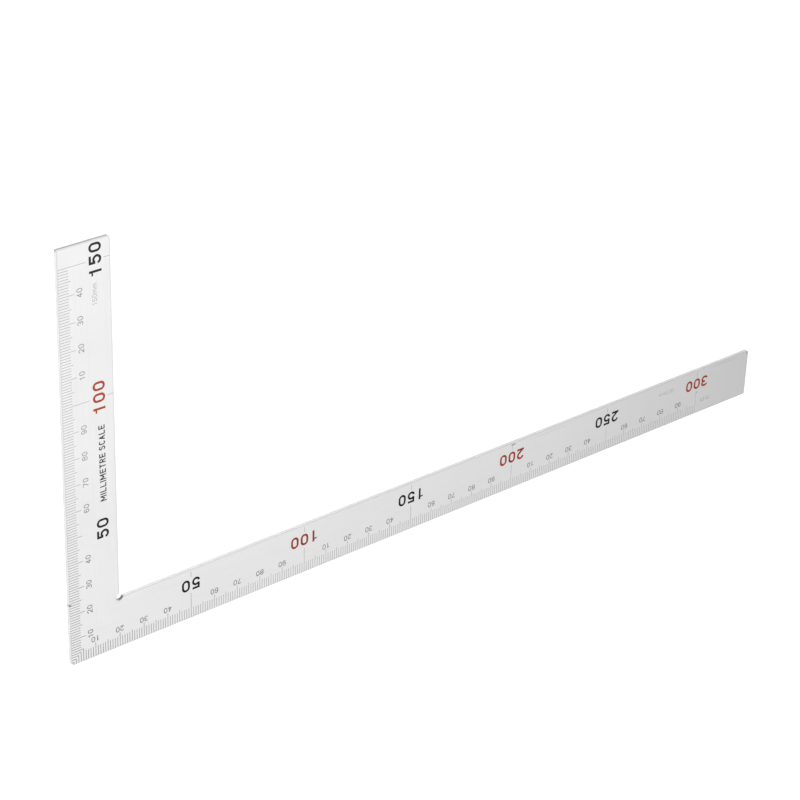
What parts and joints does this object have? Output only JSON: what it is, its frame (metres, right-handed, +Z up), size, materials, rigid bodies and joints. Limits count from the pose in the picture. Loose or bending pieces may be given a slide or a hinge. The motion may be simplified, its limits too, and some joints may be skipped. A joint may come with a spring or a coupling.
{
  "type": "steel square ruler",
  "caption": "Flat L-shaped steel square with etched and enamel-filled millimetre scales along both outer edges, for laying out and cutting square corners in leather.",
  "frame": {"origin": "outer corner of the L, where the two outer edges meet and both scales start, on the underside (the corner itself is rounded off)", "axes": "+X along the long arm, +Y along the short arm, +Z up out of the marked face"},
  "size_m": [0.329, 0.157, 0.0012],
  "materials": {
    "steel": "satin, brushed along each arm",
    "line_enamel": "matt enamel in an etched recess",
    "grey_enamel": "matt enamel in an etched recess",
    "black_enamel": "matt enamel in an etched recess",
    "red_enamel": "matt enamel in an etched recess",
    "faint_enamel": "matt enamel in an etched recess"
  },
  "bodies": {
    "root": {"square_plate": "steel", "corner_lines": "line_enamel", "long_arm_one_mm_lines": "line_enamel", "long_arm_five_mm_lines": "line_enamel", "long_arm_ten_mm_lines": "line_enamel", "long_arm_full_lines": "line_enamel", "long_arm_small_numerals": "grey_enamel", "long_arm_black_numerals": "black_enamel", "long_arm_red_numerals": "red_enamel", "long_arm_size_mark": "faint_enamel", "short_arm_one_mm_lines": "line_enamel", "short_arm_five_mm_lines": "line_enamel", "short_arm_ten_mm_lines": "line_enamel", "short_arm_full_lines": "line_enamel", "short_arm_small_numerals": "grey_enamel", "short_arm_black_numerals": "black_enamel", "short_arm_red_numerals": "red_enamel", "short_arm_size_mark": "faint_enamel", "legend": "black_enamel", "unit_mark": "faint_enamel"}
  },
  "joints": []
}
